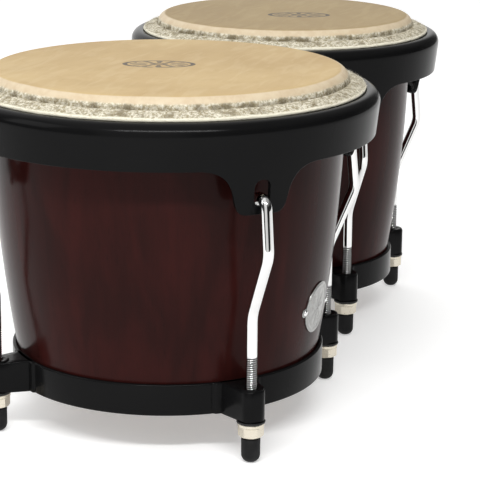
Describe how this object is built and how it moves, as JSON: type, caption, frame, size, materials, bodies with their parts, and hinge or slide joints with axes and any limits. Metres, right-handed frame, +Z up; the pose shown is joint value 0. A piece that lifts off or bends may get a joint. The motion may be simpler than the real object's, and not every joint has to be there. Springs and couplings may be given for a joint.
{
  "type": "bongo drums",
  "caption": "Pair of tunable hand drums, a large and a small one, joined by a centre block, with rolled steel rims, bent tuning lugs and rubber feet.",
  "frame": {"origin": "on the floor, under the middle of the overall box", "axes": "+X along the line of the two drums from the large hembra to the small macho, -Y the front with the badge, +Z up"},
  "size_m": [0.4608, 0.244, 0.204],
  "materials": {
    "head_skin": "natural rawhide, satin, honey tan",
    "skin_edge": "rawhide edge with short hair, matt",
    "stained_shell": "very dark brown stain under gloss lacquer",
    "block_wood": "black-brown stain, satin",
    "black_steel": "black powder coat, satin",
    "black_washer": "black oxide",
    "hoop_steel": "plain steel wire",
    "chrome_rod": "polished chrome",
    "nickel_nut": "warm nickel plate",
    "foot_rubber": "black moulded rubber",
    "bolt_steel": "zinc-plated steel",
    "badge_metal": "nickel-plated pressed badge",
    "badge_pin_metal": "nickel-plated pins"
  },
  "bodies": {
    "frame": {"hembra_shell": "stained_shell", "hembra_bottom_ring": "black_steel", "hembra_skin": "head_skin", "hembra_lug_washers": "black_washer", "hembra_backing_saddle": "block_wood", "macho_shell": "stained_shell", "macho_bottom_ring": "black_steel", "macho_skin": "head_skin", "macho_lug_washers": "black_washer", "macho_backing_saddle": "block_wood", "centre_block": "block_wood", "centre_bolts": "bolt_steel", "centre_bolt_washers": "bolt_steel", "centre_bolt_nuts": "bolt_steel", "badge": "badge_metal", "badge_pins": "badge_pin_metal"},
    "hembra_hoop": {"hembra_rim": "black_steel", "hembra_skin_collar": "skin_edge", "hembra_flesh_hoop": "hoop_steel", "hembra_back_right_lug": "chrome_rod", "hembra_back_right_tip": "foot_rubber", "hembra_back_left_lug": "chrome_rod", "hembra_back_left_tip": "foot_rubber", "hembra_front_left_lug": "chrome_rod", "hembra_front_left_tip": "foot_rubber", "hembra_front_right_lug": "chrome_rod", "hembra_front_right_tip": "foot_rubber"},
    "hembra_back_right_nut": {"hembra_back_right_nut": "nickel_nut"},
    "hembra_back_left_nut": {"hembra_back_left_nut": "nickel_nut"},
    "hembra_front_left_nut": {"hembra_front_left_nut": "nickel_nut"},
    "hembra_front_right_nut": {"hembra_front_right_nut": "nickel_nut"},
    "macho_hoop": {"macho_rim": "black_steel", "macho_skin_collar": "skin_edge", "macho_flesh_hoop": "hoop_steel", "macho_back_right_lug": "chrome_rod", "macho_back_right_tip": "foot_rubber", "macho_back_left_lug": "chrome_rod", "macho_back_left_tip": "foot_rubber", "macho_front_left_lug": "chrome_rod", "macho_front_left_tip": "foot_rubber", "macho_front_right_lug": "chrome_rod", "macho_front_right_tip": "foot_rubber"},
    "macho_back_right_nut": {"macho_back_right_nut": "nickel_nut"},
    "macho_back_left_nut": {"macho_back_left_nut": "nickel_nut"},
    "macho_front_left_nut": {"macho_front_left_nut": "nickel_nut"},
    "macho_front_right_nut": {"macho_front_right_nut": "nickel_nut"}
  },
  "joints": [
    {"name": "hembra_tuning", "type": "slide", "parent": "frame", "child": "hembra_hoop", "axis": [0, 0, -1], "range_m": [0, 0.005]},
    {"name": "hembra_back_right_nut_turn", "type": "hinge", "parent": "frame", "child": "hembra_back_right_nut", "pos_m": [-0.03239, 0.07601, 0.0148], "axis": [0, 0, 1], "range_deg": [-1, 1420.3]},
    {"name": "hembra_back_left_nut_turn", "type": "hinge", "parent": "frame", "child": "hembra_back_left_nut", "pos_m": [-0.18441, 0.07601, 0.0148], "axis": [0, 0, 1], "range_deg": [-1, 1420.3]},
    {"name": "hembra_front_left_nut_turn", "type": "hinge", "parent": "frame", "child": "hembra_front_left_nut", "pos_m": [-0.18441, -0.07601, 0.0148], "axis": [0, 0, 1], "range_deg": [-1, 1420.3]},
    {"name": "hembra_front_right_nut_turn", "type": "hinge", "parent": "frame", "child": "hembra_front_right_nut", "pos_m": [-0.03239, -0.07601, 0.0148], "axis": [0, 0, 1], "range_deg": [-1, 1420.3]},
    {"name": "macho_tuning", "type": "slide", "parent": "frame", "child": "macho_hoop", "axis": [0, 0, -1], "range_m": [0, 0.005]},
    {"name": "macho_back_right_nut_turn", "type": "hinge", "parent": "frame", "child": "macho_back_right_nut", "pos_m": [0.18945, 0.06385, 0.0148], "axis": [0, 0, 1], "range_deg": [-1, 1420.3]},
    {"name": "macho_back_left_nut_turn", "type": "hinge", "parent": "frame", "child": "macho_back_left_nut", "pos_m": [0.06175, 0.06385, 0.0148], "axis": [0, 0, 1], "range_deg": [-1, 1420.3]},
    {"name": "macho_front_left_nut_turn", "type": "hinge", "parent": "frame", "child": "macho_front_left_nut", "pos_m": [0.06175, -0.06385, 0.0148], "axis": [0, 0, 1], "range_deg": [-1, 1420.3]},
    {"name": "macho_front_right_nut_turn", "type": "hinge", "parent": "frame", "child": "macho_front_right_nut", "pos_m": [0.18945, -0.06385, 0.0148], "axis": [0, 0, 1], "range_deg": [-1, 1420.3]}
  ],
  "couplings": [
    {"joint": "hembra_back_right_nut_turn", "follows": "hembra_tuning", "rad_per_m": 4947.4},
    {"joint": "hembra_back_left_nut_turn", "follows": "hembra_tuning", "rad_per_m": 4947.4},
    {"joint": "hembra_front_left_nut_turn", "follows": "hembra_tuning", "rad_per_m": 4947.4},
    {"joint": "hembra_front_right_nut_turn", "follows": "hembra_tuning", "rad_per_m": 4947.4},
    {"joint": "macho_back_right_nut_turn", "follows": "macho_tuning", "rad_per_m": 4947.4},
    {"joint": "macho_back_left_nut_turn", "follows": "macho_tuning", "rad_per_m": 4947.4},
    {"joint": "macho_front_left_nut_turn", "follows": "macho_tuning", "rad_per_m": 4947.4},
    {"joint": "macho_front_right_nut_turn", "follows": "macho_tuning", "rad_per_m": 4947.4}
  ]
}
